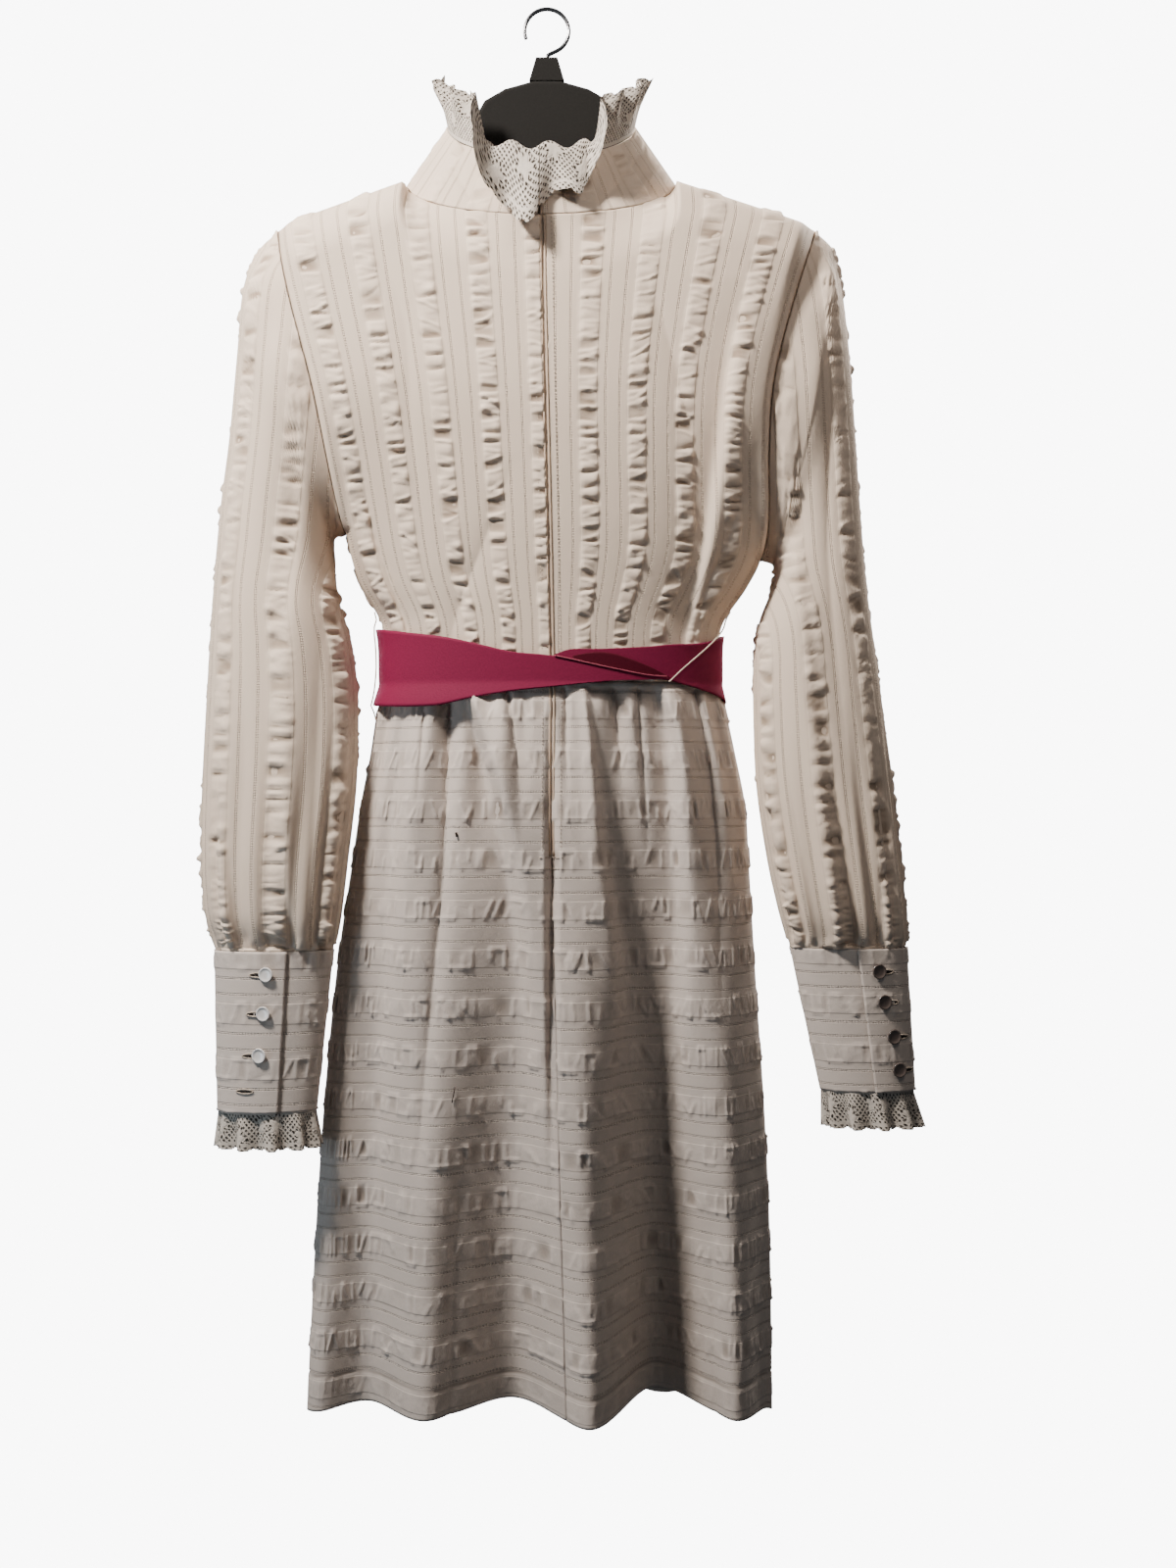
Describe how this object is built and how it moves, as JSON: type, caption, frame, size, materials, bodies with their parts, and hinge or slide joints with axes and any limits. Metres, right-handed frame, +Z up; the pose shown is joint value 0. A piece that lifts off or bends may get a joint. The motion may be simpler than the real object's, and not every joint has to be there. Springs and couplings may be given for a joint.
{
  "type": "mini dress on hanger",
  "caption": "Cream cotton long-sleeved mini dress with stand collar, lace ruffles, zipped back and raspberry ribbon sash, on a black plastic hanger.",
  "frame": {"origin": "inside of the hook's top, where the hanger rests on a rail", "axes": "+Z up, -Y towards the dress's zipped back, +Y towards its front, +X to the right as seen from the back"},
  "size_m": [0.5297, 0.1858, 1.0529],
  "materials": {
    "cotton": "puckered striped cream cotton",
    "lace": "open cotton lace",
    "satin": "soft sheen ribbon",
    "black_plastic": "fine satin black",
    "steel": "bright wire",
    "pearl": "pearly",
    "zip_nylon": "tan tape and coil"
  },
  "bodies": {
    "root": {"hanger_hook": "steel", "hanger_size_tab": "black_plastic", "hanger_body": "black_plastic", "bodice_back_right": "cotton", "bodice_back_left": "cotton", "bodice_front": "cotton", "skirt_back_right": "cotton", "skirt_back_left": "cotton", "skirt_front": "cotton", "collar": "cotton", "collar_lace": "lace", "sleeve_left": "cotton", "sleeve_right": "cotton", "cuff_left": "cotton", "cuff_right": "cotton", "cuff_lace_left": "lace", "cuff_lace_right": "lace", "button_left_1": "pearl", "button_left_2": "pearl", "button_left_3": "pearl", "button_right_1": "pearl", "button_right_2": "pearl", "button_right_3": "pearl", "button_right_4": "pearl", "zip_tape": "zip_nylon", "zip_coil": "zip_nylon", "zip_slider": "steel", "sash_left": "satin", "sash_right": "satin", "belt_loop_left": "cotton", "belt_loop_right": "cotton"}
  },
  "joints": []
}
